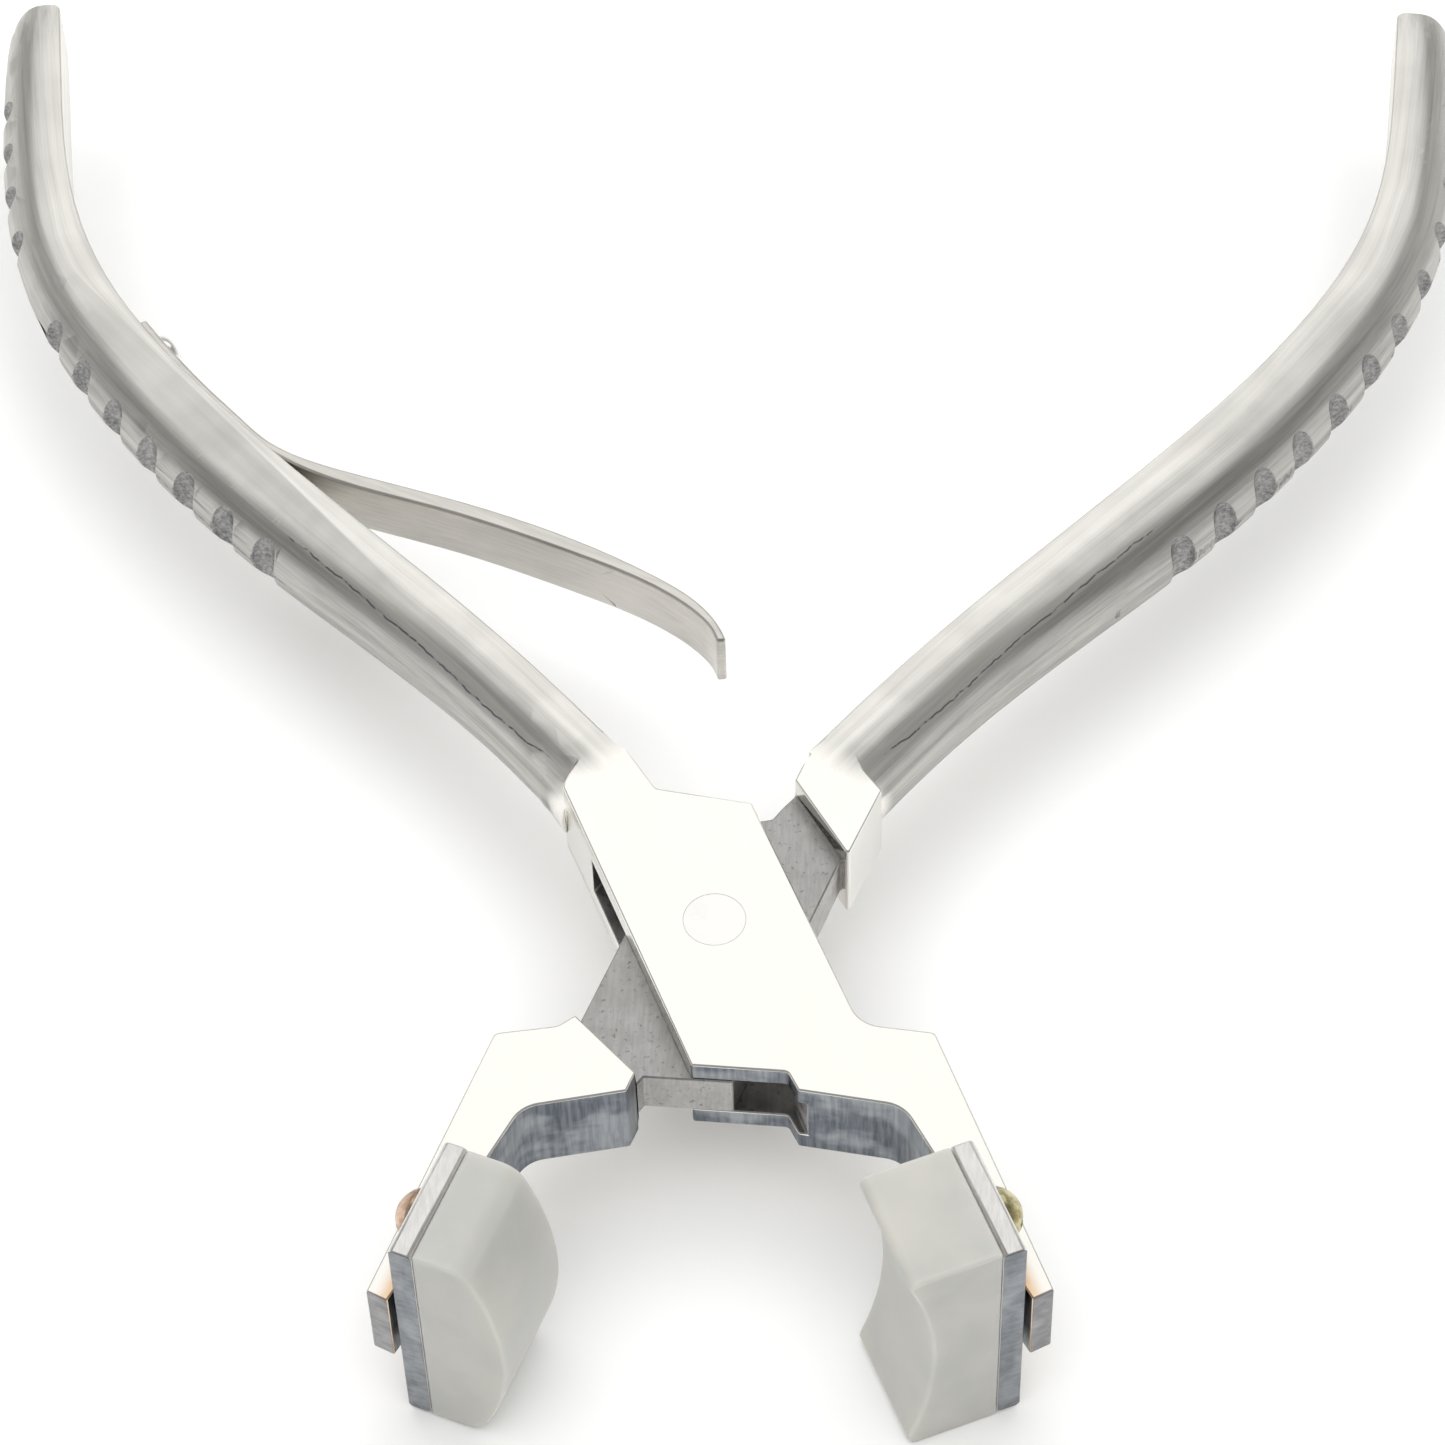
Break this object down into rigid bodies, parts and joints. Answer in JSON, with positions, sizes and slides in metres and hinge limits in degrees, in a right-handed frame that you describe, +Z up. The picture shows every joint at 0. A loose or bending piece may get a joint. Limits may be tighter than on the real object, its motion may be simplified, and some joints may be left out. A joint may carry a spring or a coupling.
{
  "type": "crimping pliers",
  "caption": "Box-joint hand pliers with a hollow and a crowned nylon jaw block screwed to steel plates, D-section grooved handles and a leaf return spring.",
  "frame": {"origin": "centre of the bounding box at its base, the flat underside of the nylon jaw blocks, with the pliers open and lying on their side", "axes": "+Z up along the pivot, +Y toward the handle ends with the jaws at -Y, +X toward the hollow jaw"},
  "size_m": [0.1478, 0.1589, 0.026],
  "materials": {
    "forged_steel": "satin",
    "rivet_steel": "polished",
    "spring_steel": "satin",
    "plate_steel": "ground",
    "nylon": "milky, slightly translucent",
    "screw_brass": "dull"
  },
  "bodies": {
    "box_half": {"box_half_lever": "forged_steel", "pivot_rivet": "rivet_steel", "leaf_spring": "spring_steel", "spring_rivet": "rivet_steel", "right_jaw_plate": "plate_steel", "hollow_jaw_block": "nylon", "right_upper_screw": "screw_brass", "right_lower_screw": "screw_brass"},
    "lap_half": {"lap_half_lever": "forged_steel", "left_jaw_plate": "plate_steel", "crowned_jaw_block": "nylon", "left_upper_screw": "screw_brass", "left_lower_screw": "screw_brass"}
  },
  "joints": [
    {"name": "plier_pivot", "type": "hinge", "parent": "box_half", "child": "lap_half", "pos_m": [-0.00007, -0.03677, 0.013], "axis": [0, 0, 1], "range_deg": [0, 43.4], "stiffness_Nm_per_rad": 0.3, "deforming": ["leaf_spring"]}
  ]
}
